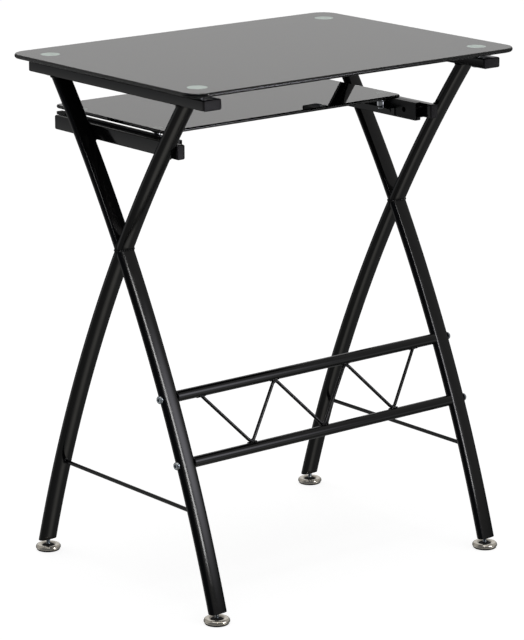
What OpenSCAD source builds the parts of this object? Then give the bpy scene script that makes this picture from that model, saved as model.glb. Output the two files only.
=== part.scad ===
// Glass-topped computer desk with a pull-out keyboard tray.
// Two X-shaped side frames of bent flat-oval tube carry a tempered glass top on
// glued metal discs. A second glass shelf runs on ball-bearing slides below it.
// Millimetres, +Z up. The origin is on the floor under the middle of the top.
// The user sits on the +Y side; the truss stretcher is on the -Y side, the rear.
// Left is -X and right is +X.

/* [Desk top] */
// Width of the glass top
top_w = 602; // [560:1:680]
// Depth of the glass top
top_d = 444; // [436:1:500]
// Thickness of the glass top
top_t = 6; // [5:0.5:8]
// Corner radius of the glass top
top_r = 28; // [10:1:60]
// Height of the top surface above the floor
desk_h = 764; // [759:1:800]
// Width of the ground bevel along the edges of both glass panes
arris = 0.8; // [0.3:0.1:1.2]

/* [Top fixings] */
// Diameter of the metal disc glued under the glass
disc_d = 29; // [22:1:34]
// Thickness of the glued disc
disc_t = 3; // [2.5:0.5:4]
// Distance of the discs from the middle of the desk, front to back
disc_y = 173.5; // [150:0.5:190]
// Diameter of the chromed spacer between disc and rail
spacer_d = 19; // [14:1:24]
// Height of the chromed spacer
spacer_h = 4.5; // [2:0.5:8]
// Thread diameter of the fixing screws
screw_d = 6; // [5:0.5:6]

/* [Side frames] */
// Distance of each side frame's plane from the middle of the desk
frame_x = 258; // [250:1:268]
// Width of the flat rail under the glass
rail_w = 30; // [24:1:34]
// Height of the rail
rail_h = 15; // [12:1:18]
// Length of the rail with its end caps
rail_len = 416; // [400:1:430]
// Wall thickness of the rails and tray carriers
rail_wall = 1.2; // [1:0.1:2]
// Wide side of the flat-oval leg tube
leg_w = 30; // [26:1:32]
// Narrow side of the flat-oval leg tube
leg_t = 13; // [13:0.5:15]
// Wall thickness of the leg tube
leg_wall = 1.2; // [1:0.1:1.5]
// Half of the front-to-back spread of the leg ends
foot_y = 208.3; // [200:0.1:215]
// Height at which the two tubes of a frame cross
cross_z = 505; // [484:1:524]
// Half of the front-to-back spread of the tubes where they meet the rail
head_y = 149; // [140:1:160]
// Height of the bottom end of the leg tubes
leg_z = 16; // [15:0.5:18]
// Height of the straight rod between the two legs of a frame
rod_z = 151.5; // [132:0.5:182]
// Diameter of that rod
rod_d = 6; // [5:0.5:8]

/* [Rear truss] */
// Height of the upper truss tube
truss_z1 = 307; // [284:1:330]
// Height of the lower truss tube
truss_z0 = 218.5; // [194:0.5:240]
// Diameter of the truss tubes
truss_d = 16; // [14:0.5:16]
// Wall thickness of the truss tubes
truss_wall = 1.2; // [1:0.1:1.5]
// Distance between neighbouring bends of the zigzag rod
zig_pitch = 67.4; // [60:0.1:70]
// Diameter of the zigzag rod
zig_d = 5; // [5:0.5:7]
// Diameter of the truss bolt heads
bolt_head_d = 12; // [10:0.5:13]

/* [Keyboard tray] */
// Width of the glass tray
tray_w = 444; // [420:1:448]
// Depth of the glass tray
tray_d = 270; // [260:1:280]
// Thickness of the glass tray
tray_t = 5; // [4:0.5:5.5]
// Corner radius of the glass tray
tray_r = 9; // [4:1:20]
// How far the tray's upper surface lies below the desk's
tray_drop = 85; // [80:0.5:86]
// Distance from the middle of the desk to the middle of the tray
tray_y = 83.4; // [78:0.2:90]
// How far the tray pulls out
tray_travel = 200; // [120:10:200]
// Distance of the tray discs from the middle of the desk, side to side
tray_disc_x = 210; // [208:0.5:211]
// Place of the rear tray discs
tray_disc_y0 = -18; // [-24:1:-10]
// Place of the front tray discs
tray_disc_y1 = 164; // [150:1:170]
// Diameter of the tray discs
tray_disc_d = 16; // [12:1:17]

/* [Carriers and slides] */
// Outer height of the carrier tube
carrier_h = 21; // [19:0.5:23]
// Outer width of the carrier tube
carrier_w = 13; // [11:0.5:13.5]
// Rear end of the carrier
carrier_y0 = -108; // [-112:1:-106]
// Front end of the carrier
carrier_y1 = 188; // [180:1:196]
// How far the slides' middle line lies below the tray's upper surface
slide_drop = 21; // [19:0.5:23]
// Height of the moving channel of each slide
slide_h = 27; // [27:0.5:28]
// Rear end of the fixed slide member
fixed_y0 = -92; // [-100:1:-90]
// Front end of the fixed slide member
fixed_y1 = 200; // [198:1:204]
// Rear end of the moving slide member
moving_y0 = -86; // [-90:1:-86]
// Front end of the moving slide member
moving_y1 = 204; // [200:1:206]
// Length of the ball cage
cage_len = 80; // [60:1:80]
// Rear end of the ball cage with the tray pushed in
cage_y0 = 17; // [16:0.5:20]
// Diameter of the slide's bearing balls
ball_d = 4; // [3.9:0.1:4]
// Clearance between the balls and the two races
ball_gap = 0.05; // [0.02:0.01:0.1]
// Height of the tray bracket's upright leg
bracket_h = 13; // [12.5:0.1:13.5]
// Width of the tray bracket's level leg
bracket_w = 17; // [16.5:0.5:20]

/* [Levelling feet] */
// Diameter of the chromed dish
foot_d = 38; // [32:1:42]
// Diameter of the rubber pad
pad_d = 35; // [28:1:40]
// Diameter of the threaded stud
stud_d = 6; // [5:0.5:6]
// Radial clearance of the stud in its plug and in the dish
stud_gap = 0.05; // [0.02:0.01:0.1]
// Depth of the stud's blind bore in the plug
bore_l = 12; // [8:0.5:12]

/* [Hidden] */
$fn = 64;
e = 1;                                   // overlap of cutting tools
top_z0 = desk_h - top_t;                 // underside of the glass top
tray_z = desk_h - tray_drop;             // upper surface of the tray
slide_z = tray_z - slide_drop;           // middle line of the slides
rail_z1 = top_z0 - disc_t - spacer_h;    // upper face of the rails
rail_z0 = rail_z1 - rail_h;              // lower face of the rails
cap_t = 3;                               // flange of an end cap
thread_gap = 0.1;                        // gap around a screw thread
bolt_seat = 0.6;                         // depth of the flat under a truss bolt's head
// circle through the foot, the crossing and the head of a leg, seen from the side
ref_z = leg_z + 3;
ca = [-2 * foot_y, 2 * (cross_z - ref_z)];
cb = [-2 * (head_y + foot_y), 2 * (rail_z0 - ref_z)];
k1 = cross_z * cross_z - foot_y * foot_y - ref_z * ref_z;
k2 = head_y * head_y + rail_z0 * rail_z0 - foot_y * foot_y - ref_z * ref_z;
cdet = ca[0] * cb[1] - cb[0] * ca[1];
bow_y = (k1 * cb[1] - k2 * ca[1]) / cdet;
bow_z = (ca[0] * k2 - cb[0] * k1) / cdet;
bow_r = norm([foot_y - bow_y, ref_z - bow_z]);
cross_a = asin((cross_z - bow_z) / bow_r);   // lean of a tube at the crossing
function leg_y(z) = bow_y + sqrt(bow_r * bow_r - (z - bow_z) * (z - bow_z));
foot_c = leg_y(leg_z + bore_l / 2);      // axis of a foot, midway along its bore
hub_r = foot_d / 2 - 10;                 // radius of the pad's hub inside the dish
hub_z = 8.4;                             // top of that hub
leg_in = frame_x - leg_w / 2;            // inner side of the legs
leg_out = frame_x + leg_w / 2;           // outer side of the legs
// truss geometry: both tubes lie on the middle line of the rear legs
ty1 = -leg_y(truss_z1);
ty0 = -leg_y(truss_z0);
tlen = norm([ty1 - ty0, truss_z1 - truss_z0]);
tdir = [(ty0 - ty1) / tlen, (truss_z0 - truss_z1) / tlen];
zig_hi = [ty1 + tdir[0] * 6, truss_z1 + tdir[1] * 6];
zig_lo = [ty0 - tdir[0] * 7, truss_z0 - tdir[1] * 7];
// slides: u runs from the carrier's inner face towards the middle of the desk
carrier_x1 = leg_in;
carrier_x0 = carrier_x1 - carrier_w;
carrier_z0 = slide_z + 1.5 - carrier_h / 2;
sheet = 1.2;                             // slide sheet thickness
slide_u = 12;                            // thickness of a whole slide
race_out = slide_h / 2 - sheet;          // inner face of the moving flange
ball_zc = race_out - ball_gap - ball_d / 2;
race_in = ball_zc - ball_d / 2 - ball_gap;   // outer face of the fixed flange
ball_u = 6.5;
ball_pitch = 12;
ball_n = floor((cage_len - 8) / ball_pitch) + 1;
tray_z0 = tray_z - tray_t;               // underside of the tray
brk_t = 1.5;                             // tray bracket sheet
brk_z = slide_z + 0.7;                   // upper face of the tray bracket
brk_x = carrier_x0 - slide_u;            // outer face of the tray bracket
brk_y0 = moving_y0 + 46;
brk_y1 = moving_y1 - 20;
tray_disc_t = 2;
fix_screw_y = [fixed_y0 + 32, (fixed_y0 + fixed_y1) / 2 + 16, fixed_y1 - 30];
rivet_y = [brk_y0 + 10, (brk_y0 + brk_y1) / 2, brk_y1 - 10];

black_paint = "#17181a";
black_plastic = "#222326";
smoked_glass = "#3b3f40";
chrome = "#c9ccd0";
zinc = "#a9b4bd";
rubber = "#101010";

// ---- shapes ----

// Rounded rectangle in the plane
module rrect(w, h, r) {
    square([w - 2 * r, h], center = true);
    square([w, h - 2 * r], center = true);
    for (i = [-1, 1], j = [-1, 1])
        translate([i * (w / 2 - r), j * (h / 2 - r)]) circle(r);
}

// Flat oval in the plane, t along X and w along Y. Its round ends are drawn as
// flats of 22.5 degrees, which bend along the leg's long arc without a flaw.
module oval(w, t) {
    polygon([for (s = [0, 1], j = [0 : 8]) let (a = s * 180 + j * 22.5)
        [t / 2 * cos(a), (s == 0 ? 1 : -1) * (w - t) / 2 + t / 2 * sin(a)]]);
}

// Rounded plate standing on z = 0 with a bevel of c along every edge
module plate(w, d, t, r, c) {
    // section through the plate across a width of s
    module band(s) {
        polygon([[-s / 2 + c, 0], [s / 2 - c, 0], [s / 2, c], [s / 2, t - c],
                 [s / 2 - c, t], [-s / 2 + c, t], [-s / 2, t - c], [-s / 2, c]]);
    }
    rotate([90, 0, 0]) linear_extrude(d - 2 * r, center = true) band(w);
    rotate([90, 0, 90]) linear_extrude(w - 2 * r, center = true) band(d);
    for (i = [-1, 1], j = [-1, 1])
        translate([i * (w / 2 - r), j * (d / 2 - r), 0])
            rotate_extrude()
                polygon([[0, 0], [r - c, 0], [r, c], [r, t - c], [r - c, t], [0, t]]);
}

// Rectangular tube along Y from y0 to y1, middle of the section at the origin
module tube_y(w, h, y0, y1, wall) {
    translate([0, y1, 0]) rotate([90, 0, 0]) linear_extrude(y1 - y0)
        difference() {
            rrect(w, h, 2);
            rrect(w - 2 * wall, h - 2 * wall, 2 - wall * 0.7);
        }
}

// Bent flat-oval bar of one leg that leans to the rear at the top
module bow(w, t) {
    a0 = asin((leg_z - 30 - bow_z) / bow_r);
    a1 = asin((rail_z0 + 30 - bow_z) / bow_r);
    translate([0, bow_y, bow_z]) rotate([90, 0, 90]) rotate([0, 0, a0])
        rotate_extrude(angle = a1 - a0, $fn = 720)
            translate([bow_r, 0]) oval(w, t);
}

// Trims a leg level with the rail above and with the foot below
module trimmed() {
    difference() {
        children();
        translate([-30, -400, rail_z0]) cube([60, 800, 100]);
        translate([-30, -400, leg_z - 100]) cube([60, 800, 100]);
    }
}

module leg_tube() {
    trimmed() difference() {
        bow(leg_w, leg_t);
        bow(leg_w - 2 * leg_wall, leg_t - 2 * leg_wall);
    }
}

// Half of the other leg of a frame, coped against the unbroken tube
module leg_half(up) {
    difference() {
        intersection() {
            mirror([0, 1, 0]) leg_tube();
            translate([0, 0, cross_z]) rotate([cross_a, 0, 0])
                translate([-30, up ? 0 : -900, -700]) cube([60, 900, 1400]);
        }
        bow(leg_w, leg_t);
    }
}

// Round bar between two points, run on past both by x
module bar(p, q, d, x) {
    v = q - p;
    translate(p) rotate([0, acos(v[2] / norm(v)), atan2(v[1], v[0])])
        translate([0, 0, -x]) cylinder(d = d, h = norm(v) + 2 * x, $fn = 32);
}

// Sheet-metal or machined fixing screw: head at z = -head_h..0, shank upwards
module screw(d, l, head_d, head_h, drive) {
    difference() {
        union() {
            translate([0, 0, -head_h]) cylinder(d = head_d, h = head_h, $fn = 48);
            cylinder(d = d, h = l, $fn = 32);
        }
        translate([0, 0, -head_h - e]) cylinder(d = drive, h = head_h * 0.6 + e, $fn = 6);
    }
}

// ---- glass top and its fixings ----

module glass_top() {
    color(smoked_glass) translate([0, 0, top_z0]) plate(top_w, top_d, top_t, top_r, arris);
}

module at_discs() {
    for (i = [-1, 1], j = [-1, 1]) translate([i * frame_x, j * disc_y, 0]) children();
}

module top_discs() {
    color(chrome) at_discs() difference() {
        translate([0, 0, top_z0 - disc_t]) cylinder(d = disc_d, h = disc_t);
        translate([0, 0, top_z0 - disc_t - e])
            cylinder(d = screw_d + 2 * thread_gap, h = disc_t - 0.6 + e, $fn = 32);
    }
}

module top_spacers() {
    color(chrome) at_discs() translate([0, 0, rail_z1]) difference() {
        rotate_extrude() polygon([[0, 0], [spacer_d / 2 - 0.5, 0], [spacer_d / 2, 0.5],
            [spacer_d / 2, spacer_h - 0.5], [spacer_d / 2 - 0.5, spacer_h], [0, spacer_h]]);
        translate([0, 0, -e]) cylinder(d = screw_d + 0.6, h = spacer_h + 2 * e, $fn = 32);
    }
}

module top_screws() {
    color(zinc) at_discs() translate([0, 0, rail_z0])
        screw(screw_d, rail_h + spacer_h + disc_t - 1, 12, 3, 4);
}

// ---- side frames ----

module rail(side) {
    color(black_paint) difference() {
        translate([side * frame_x, 0, rail_z0 + rail_h / 2])
            tube_y(rail_w, rail_h, -rail_len / 2 + cap_t, rail_len / 2 - cap_t, rail_wall);
        for (j = [-1, 1]) translate([side * frame_x, j * disc_y, rail_z0 - e])
            cylinder(d = screw_d + 0.8, h = rail_h + 2 * e, $fn = 32);
    }
}
module rail_left() { rail(-1); }
module rail_right() { rail(1); }

// End cap of a rectangular tube, flange towards +Y from y = 0
module end_cap(w, h, wall) {
    rotate([-90, 0, 0]) union() {
        plate(w, h, cap_t, 2.4, 0.9);
        translate([0, 0, -12]) linear_extrude(12 + e) difference() {
            rrect(w - 2 * wall - 0.2, h - 2 * wall - 0.2, 1);
            rrect(w - 2 * wall - 3.2, h - 2 * wall - 3.2, 0.5);
        }
    }
}

module rail_caps() {
    color(black_plastic) for (i = [-1, 1], j = [0, 1])
        translate([i * frame_x, 0, rail_z0 + rail_h / 2]) mirror([0, j, 0])
            translate([0, rail_len / 2 - cap_t, 0]) end_cap(rail_w, rail_h, rail_wall);
}

module leg_long_left() { color(black_paint) translate([-frame_x, 0, 0]) leg_tube(); }
module leg_long_right() { color(black_paint) translate([frame_x, 0, 0]) leg_tube(); }
module leg_upper_left() { color(black_paint) translate([-frame_x, 0, 0]) leg_half(true); }
module leg_upper_right() { color(black_paint) translate([frame_x, 0, 0]) leg_half(true); }

// Rear leg below the crossing, bored across for the two truss bolts and
// pressed flat under their heads
module leg_lower(side) {
    color(black_paint) translate([side * frame_x, 0, 0]) difference() {
        leg_half(false);
        for (p = [[ty1, truss_z1], [ty0, truss_z0]]) translate([0, p[0], p[1]]) {
            translate([-leg_w, 0, 0]) rotate([0, 90, 0])
                cylinder(d = screw_d + 0.8, h = 2 * leg_w, $fn = 32);
            rotate([0, side * 90, 0]) translate([0, 0, leg_w / 2 - bolt_seat])
                cylinder(d = bolt_head_d + 0.6, h = e + bolt_seat, $fn = 48);
        }
    }
}
module leg_lower_left() { leg_lower(-1); }
module leg_lower_right() { leg_lower(1); }

module side_rod(side) {
    color(black_paint) translate([side * frame_x, 0, 0]) difference() {
        translate([0, -leg_y(rod_z), rod_z]) rotate([-90, 0, 0])
            cylinder(d = rod_d, h = 2 * leg_y(rod_z), $fn = 32);
        bow(leg_w, leg_t);
        mirror([0, 1, 0]) bow(leg_w, leg_t);
    }
}
module side_rod_left() { side_rod(-1); }
module side_rod_right() { side_rod(1); }

// ---- rear truss ----

module truss_tube(y, z) {
    color(black_paint) difference() {
        translate([-frame_x, y, z]) rotate([0, 90, 0]) difference() {
            cylinder(d = truss_d, h = 2 * frame_x, $fn = 48);
            translate([0, 0, -e])
                cylinder(d = truss_d - 2 * truss_wall, h = 2 * (frame_x + e), $fn = 48);
        }
        for (i = [-1, 1]) translate([i * frame_x, 0, 0]) mirror([0, 1, 0]) bow(leg_w, leg_t);
        // keep clear of the hollow of the leg
        for (i = [-1, 1]) translate([i * frame_x, y, z]) cube([leg_w - 8, 60, 60], center = true);
    }
}
module truss_tube_upper() { truss_tube(ty1, truss_z1); }
module truss_tube_lower() { truss_tube(ty0, truss_z0); }

module truss_zigzag() {
    pts = [for (i = [-3 : 3]) [i * zig_pitch,
        i % 2 == 0 ? zig_lo[0] : zig_hi[0], i % 2 == 0 ? zig_lo[1] : zig_hi[1]]];
    color(black_paint) difference() {
        for (i = [0 : 5]) bar(pts[i], pts[i + 1], zig_d, zig_d / 2);
        for (p = [[ty1, truss_z1], [ty0, truss_z0]])
            translate([-frame_x, p[0], p[1]]) rotate([0, 90, 0])
                cylinder(d = truss_d, h = 2 * frame_x, $fn = 48);
    }
}

// Threaded plugs pressed into the ends of both truss tubes
module truss_inserts() {
    color(zinc) for (p = [[ty1, truss_z1], [ty0, truss_z0]], i = [-1, 1])
        translate([i > 0 ? leg_in - 18 : -leg_in + 2, p[0], p[1]]) rotate([0, 90, 0])
            difference() {
                cylinder(d = truss_d - 2 * truss_wall - 0.1, h = 16, $fn = 48);
                translate([0, 0, -e])
                    cylinder(d = screw_d + 2 * thread_gap, h = 16 + 2 * e, $fn = 32);
            }
}

module truss_bolts() {
    color(zinc) for (p = [[ty1, truss_z1], [ty0, truss_z0]], i = [-1, 1])
        translate([i * (leg_out - bolt_seat), p[0], p[1]]) rotate([0, -i * 90, 0])
            difference() {
                union() {
                    cylinder(d = screw_d, h = leg_w + 14, $fn = 32);
                    // domed head with a flat bearing face
                    rotate_extrude($fn = 48) polygon([[0, 0], [bolt_head_d / 2, 0],
                        [bolt_head_d / 2, -1.2], [bolt_head_d / 2 - 0.8, -2.8],
                        [bolt_head_d / 2 - 2.2, -4], [0, -4]]);
                }
                translate([0, 0, -4 - e]) cylinder(d = 4.6, h = 2.4 + e, $fn = 6);
            }
}

// ---- tray carriers and slides, drawn on the right and mirrored ----

module on_side(side) { mirror([side < 0 ? 1 : 0, 0, 0]) children(); }

module carrier(side) {
    color(black_paint) on_side(side) difference() {
        translate([carrier_x0 + carrier_w / 2, 0, carrier_z0 + carrier_h / 2])
            tube_y(carrier_w, carrier_h, carrier_y0 + cap_t, carrier_y1 - cap_t, rail_wall);
        for (y = fix_screw_y) translate([carrier_x0 - e, y, slide_z]) rotate([0, 90, 0])
            cylinder(d = 4.2, h = rail_wall + 2 * e, $fn = 32);
    }
}
module carrier_left() { carrier(-1); }
module carrier_right() { carrier(1); }

module carrier_caps() {
    color(black_plastic) for (i = [-1, 1]) on_side(i)
        translate([carrier_x0 + carrier_w / 2, 0, carrier_z0 + carrier_h / 2]) {
            translate([0, carrier_y1 - cap_t, 0]) end_cap(carrier_w, carrier_h, rail_wall);
            translate([0, carrier_y0 + cap_t, 0]) mirror([0, 1, 0])
                end_cap(carrier_w, carrier_h, rail_wall);
        }
}

// Box in slide coordinates: u inwards from the carrier, z from the slide's middle
module sbox(u0, u1, y0, y1, z0, z1) {
    translate([carrier_x0 - u1, y0, slide_z + z0]) cube([u1 - u0, y1 - y0, z1 - z0]);
}

module slide_fixed(side) {
    color("#3c3f42") on_side(side) difference() {
        union() {
            sbox(0, sheet, fixed_y0, fixed_y1, -race_in, race_in);
            for (s = [-1, 1]) {
                sbox(0, 8.6, fixed_y0, fixed_y1,
                     s > 0 ? race_in - sheet : -race_in, s > 0 ? race_in : -race_in + sheet);
                // front stop of the ball cage
                sbox(5, 8, fixed_y1 - 1.5, fixed_y1,
                     s > 0 ? race_in : -race_in - 3.4, s > 0 ? race_in + 3.4 : -race_in);
            }
        }
        for (y = fix_screw_y) translate([carrier_x0 - 6, y, slide_z]) rotate([0, 90, 0])
            cylinder(d = 4.2, h = 8, $fn = 32);
    }
}
module slide_fixed_left() { slide_fixed(-1); }
module slide_fixed_right() { slide_fixed(1); }

module slide_screws() {
    color(zinc) for (i = [-1, 1]) on_side(i) for (y = fix_screw_y)
        translate([carrier_x0 - sheet, y, slide_z]) rotate([0, 90, 0])
            screw(4, 9, 7.4, 1.8, 2.4);
}

module ball_cage(side) {
    color("#8d9297") on_side(side) difference() {
        union() {
            sbox(9.4, 10, cage_y0, cage_y0 + cage_len, -ball_zc - 0.4, ball_zc + 0.4);
            for (s = [-1, 1]) sbox(4.4, 10, cage_y0, cage_y0 + cage_len,
                s > 0 ? ball_zc - 0.4 : -ball_zc - 0.4, s > 0 ? ball_zc + 0.4 : -ball_zc + 0.4);
        }
        at_balls() translate([0, 0, -2]) cylinder(d = ball_d + 0.06, h = 4, $fn = 32);
        // window in the web
        sbox(9, 11, cage_y0 + 10, cage_y0 + cage_len - 10, -5, 5);
    }
}

module at_balls() {
    for (s = [-1, 1], k = [0 : ball_n - 1])
        translate([carrier_x0 - ball_u,
                   cage_y0 + cage_len / 2 + (k - (ball_n - 1) / 2) * ball_pitch,
                   slide_z + s * ball_zc]) children();
}
module ball_cage_left() { ball_cage(-1); }
module ball_cage_right() { ball_cage(1); }

module slide_balls(side) {
    color(chrome) on_side(side) at_balls() sphere(d = ball_d, $fn = 32);
}
module slide_balls_left() { slide_balls(-1); }
module slide_balls_right() { slide_balls(1); }

module slide_moving(side) {
    color(black_paint) on_side(side) difference() {
        union() {
            sbox(slide_u - sheet, slide_u, moving_y0, moving_y1, -slide_h / 2, slide_h / 2);
            for (s = [-1, 1]) {
                sbox(2, slide_u, moving_y0, moving_y1,
                     s > 0 ? race_out : -slide_h / 2, s > 0 ? slide_h / 2 : -race_out);
                // lip that keeps the balls in
                sbox(2, 2 + sheet, moving_y0, moving_y1,
                     s > 0 ? race_in + 1 : -slide_h / 2, s > 0 ? slide_h / 2 : -race_in - 1);
                // rear stop of the ball cage
                sbox(5, 8, moving_y0, moving_y0 + 1.5,
                     s > 0 ? race_in + 0.4 : -race_out, s > 0 ? race_out : -race_in - 0.4);
            }
        }
        // driver holes in the web, over the fixing screws
        for (y = fix_screw_y) translate([carrier_x0 - slide_u - e, y, slide_z])
            rotate([0, 90, 0]) cylinder(d = 8, h = sheet + 2 * e, $fn = 32);
        for (y = rivet_y) translate([carrier_x0 - slide_u - e, y, slide_z - 6])
            rotate([0, 90, 0]) cylinder(d = 4, h = sheet + 2 * e, $fn = 32);
    }
}
module slide_moving_left() { slide_moving(-1); }
module slide_moving_right() { slide_moving(1); }

// ---- keyboard tray ----

// Angle that carries the tray glass: one leg on the slide, one under the spacers
module tray_bracket(side) {
    color(black_paint) on_side(side) difference() {
        union() {
            translate([brk_x - brk_t, brk_y0, brk_z - bracket_h])
                cube([brk_t, brk_y1 - brk_y0, bracket_h]);
            translate([brk_x - bracket_w, brk_y0, brk_z - brk_t])
                cube([bracket_w, brk_y1 - brk_y0, brk_t]);
        }
        for (y = [tray_disc_y0, tray_disc_y1]) translate([tray_disc_x, y, brk_z - brk_t - e])
            cylinder(d = screw_d + 0.6, h = brk_t + 2 * e, $fn = 32);
        for (y = rivet_y) translate([brk_x - brk_t - e, y, slide_z - 6])
            rotate([0, 90, 0]) cylinder(d = 4, h = brk_t + 2 * e, $fn = 32);
    }
}
module tray_bracket_left() { tray_bracket(-1); }
module tray_bracket_right() { tray_bracket(1); }

module bracket_rivets() {
    color(black_paint) for (i = [-1, 1]) on_side(i) for (y = rivet_y)
        translate([brk_x, y, slide_z - 6]) rotate([0, 90, 0]) {
            translate([0, 0, -brk_t]) cylinder(d = 4, h = brk_t + sheet, $fn = 32);
            translate([0, 0, -brk_t]) rotate([180, 0, 0])
                rotate_extrude($fn = 32) polygon([[0, 0], [3.2, 0], [2.6, 0.7], [1.4, 1.1], [0, 1.1]]);
        }
}

module tray_glass() {
    color(smoked_glass) translate([0, tray_y, tray_z0])
        plate(tray_w, tray_d, tray_t, tray_r, arris);
}

module at_tray_discs() {
    for (i = [-1, 1], y = [tray_disc_y0, tray_disc_y1])
        translate([i * tray_disc_x, y, 0]) children();
}

module tray_discs() {
    color(chrome) at_tray_discs() difference() {
        translate([0, 0, tray_z0 - tray_disc_t]) cylinder(d = tray_disc_d, h = tray_disc_t);
        translate([0, 0, tray_z0 - tray_disc_t - e])
            cylinder(d = screw_d + 2 * thread_gap, h = tray_disc_t - 0.5 + e, $fn = 32);
    }
}

module tray_spacers() {
    h = tray_z0 - tray_disc_t - brk_z;
    color(chrome) at_tray_discs() translate([0, 0, brk_z]) difference() {
        rotate_extrude() polygon([[0, 0], [6.5, 0], [7, 0.5], [7, h - 6.5], [6.5, h - 6],
                                  [5, h - 6], [5, h], [0, h]]);
        translate([0, 0, -e]) cylinder(d = screw_d + 0.4, h = h + 2 * e, $fn = 32);
    }
}

module tray_screws() {
    color(zinc) at_tray_discs() translate([0, 0, brk_z - brk_t])
        screw(screw_d, tray_z0 - brk_z + brk_t - 0.8, 10.5, 2.8, 4);
}

// ---- levelling feet ----

// Plastic plugs in the bottom ends of the legs, each with a blind bore for its stud
module leg_plugs() {
    module plug() {
        difference() {
            intersection() {
                bow(leg_w - 2 * leg_wall - 0.1, leg_t - 2 * leg_wall - 0.1);
                translate([-30, 0, leg_z]) cube([60, 300, bore_l + 1.5]);
            }
            translate([0, foot_c, leg_z - e])
                cylinder(r = stud_d / 2 + stud_gap, h = bore_l + e, $fn = 32);
        }
    }
    color(black_plastic) for (i = [-1, 1], j = [0, 1])
        translate([i * frame_x, 0, 0]) mirror([0, j, 0]) plug();
}

module at_foot(side, end) { translate([side * frame_x, end * foot_c, 0]) children(); }

// Threaded stud with a spigot that turns in the pad's hub
module foot_stud(side, end) {
    color(zinc) at_foot(side, end) {
        translate([0, 0, 2.8]) cylinder(d = stud_d - 1.4, h = hub_z - 2, $fn = 32);
        translate([0, 0, hub_z + 0.1])
            cylinder(d = stud_d, h = leg_z + bore_l - 0.4 - hub_z, $fn = 32);
    }
}

// Pressed ring with a rounded shoulder and a turned-in inner lip
module foot_dish(side, end) {
    r = foot_d / 2;
    color(chrome) at_foot(side, end) rotate_extrude()
        polygon([[hub_r + 0.05, 2.5], [r - 1.2, 2.5], [r - 0.3, 3], [r, 3.8], [r - 0.2, 5.6],
                 [r - 1.2, 7.2], [r - 3, 8], [r - 6, 8.1], [r - 8.6, 7.6], [hub_r + 0.05, 6.6]]);
}

// Rubber pad whose hub fills the middle of the dish
module foot_pad(side, end) {
    hole = stud_d / 2 - 0.7 + stud_gap;
    color(rubber) at_foot(side, end) rotate_extrude()
        polygon([[0, 0], [pad_d / 2 - 0.6, 0], [pad_d / 2, 0.6], [pad_d / 2, 2.5],
                 [hub_r, 2.5], [hub_r, 7], [hub_r - 2.2, 7.9], [hub_r * 0.45, hub_z],
                 [hole, hub_z], [hole, 2.5], [0, 2.5]]);
}

module foot_stud_rear_left() { foot_stud(-1, -1); }
module foot_dish_rear_left() { foot_dish(-1, -1); }
module foot_pad_rear_left() { foot_pad(-1, -1); }
module foot_stud_rear_right() { foot_stud(1, -1); }
module foot_dish_rear_right() { foot_dish(1, -1); }
module foot_pad_rear_right() { foot_pad(1, -1); }
module foot_stud_front_left() { foot_stud(-1, 1); }
module foot_dish_front_left() { foot_dish(-1, 1); }
module foot_pad_front_left() { foot_pad(-1, 1); }
module foot_stud_front_right() { foot_stud(1, 1); }
module foot_dish_front_right() { foot_dish(1, 1); }
module foot_pad_front_right() { foot_pad(1, 1); }

glass_top();
top_discs();
top_spacers();
top_screws();
rail_left();
rail_right();
rail_caps();
leg_long_left();
leg_upper_left();
leg_lower_left();
leg_long_right();
leg_upper_right();
leg_lower_right();
side_rod_left();
side_rod_right();
truss_tube_upper();
truss_tube_lower();
truss_zigzag();
truss_inserts();
truss_bolts();
carrier_left();
carrier_right();
carrier_caps();
slide_fixed_left();
slide_fixed_right();
slide_screws();
ball_cage_left();
ball_cage_right();
slide_balls_left();
slide_balls_right();
slide_moving_left();
slide_moving_right();
tray_bracket_left();
tray_bracket_right();
bracket_rivets();
tray_glass();
tray_discs();
tray_spacers();
tray_screws();
leg_plugs();
foot_stud_rear_left();
foot_dish_rear_left();
foot_pad_rear_left();
foot_stud_rear_right();
foot_dish_rear_right();
foot_pad_rear_right();
foot_stud_front_left();
foot_dish_front_left();
foot_pad_front_left();
foot_stud_front_right();
foot_dish_front_right();
foot_pad_front_right();
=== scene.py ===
import math

import bpy
import numpy as np
from mathutils import Matrix


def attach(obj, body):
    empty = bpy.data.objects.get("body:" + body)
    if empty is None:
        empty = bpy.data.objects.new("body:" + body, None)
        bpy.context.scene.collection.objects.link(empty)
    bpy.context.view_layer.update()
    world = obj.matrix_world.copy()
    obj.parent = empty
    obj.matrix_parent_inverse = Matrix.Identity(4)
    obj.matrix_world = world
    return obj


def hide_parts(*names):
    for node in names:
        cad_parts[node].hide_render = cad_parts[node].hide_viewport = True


# Computer desk: a dark glass top and a pull-out glass keyboard tray on two pairs of
# crossed, bowed tube legs, tied at the rear by a zigzag truss. Sizes in the sections
# are in millimetres, +Z up, the user on the +Y side and the truss on the -Y side.
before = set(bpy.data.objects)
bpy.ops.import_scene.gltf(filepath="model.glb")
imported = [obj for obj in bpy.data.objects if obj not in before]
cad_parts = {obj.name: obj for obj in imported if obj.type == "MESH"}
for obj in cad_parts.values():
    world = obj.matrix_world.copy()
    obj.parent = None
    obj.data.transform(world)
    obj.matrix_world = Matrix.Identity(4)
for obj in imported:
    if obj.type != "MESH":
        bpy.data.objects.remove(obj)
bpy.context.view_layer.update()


# ---- camera ----
# Stands off the rear left corner, a little above the glass top, on a long lens.

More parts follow.
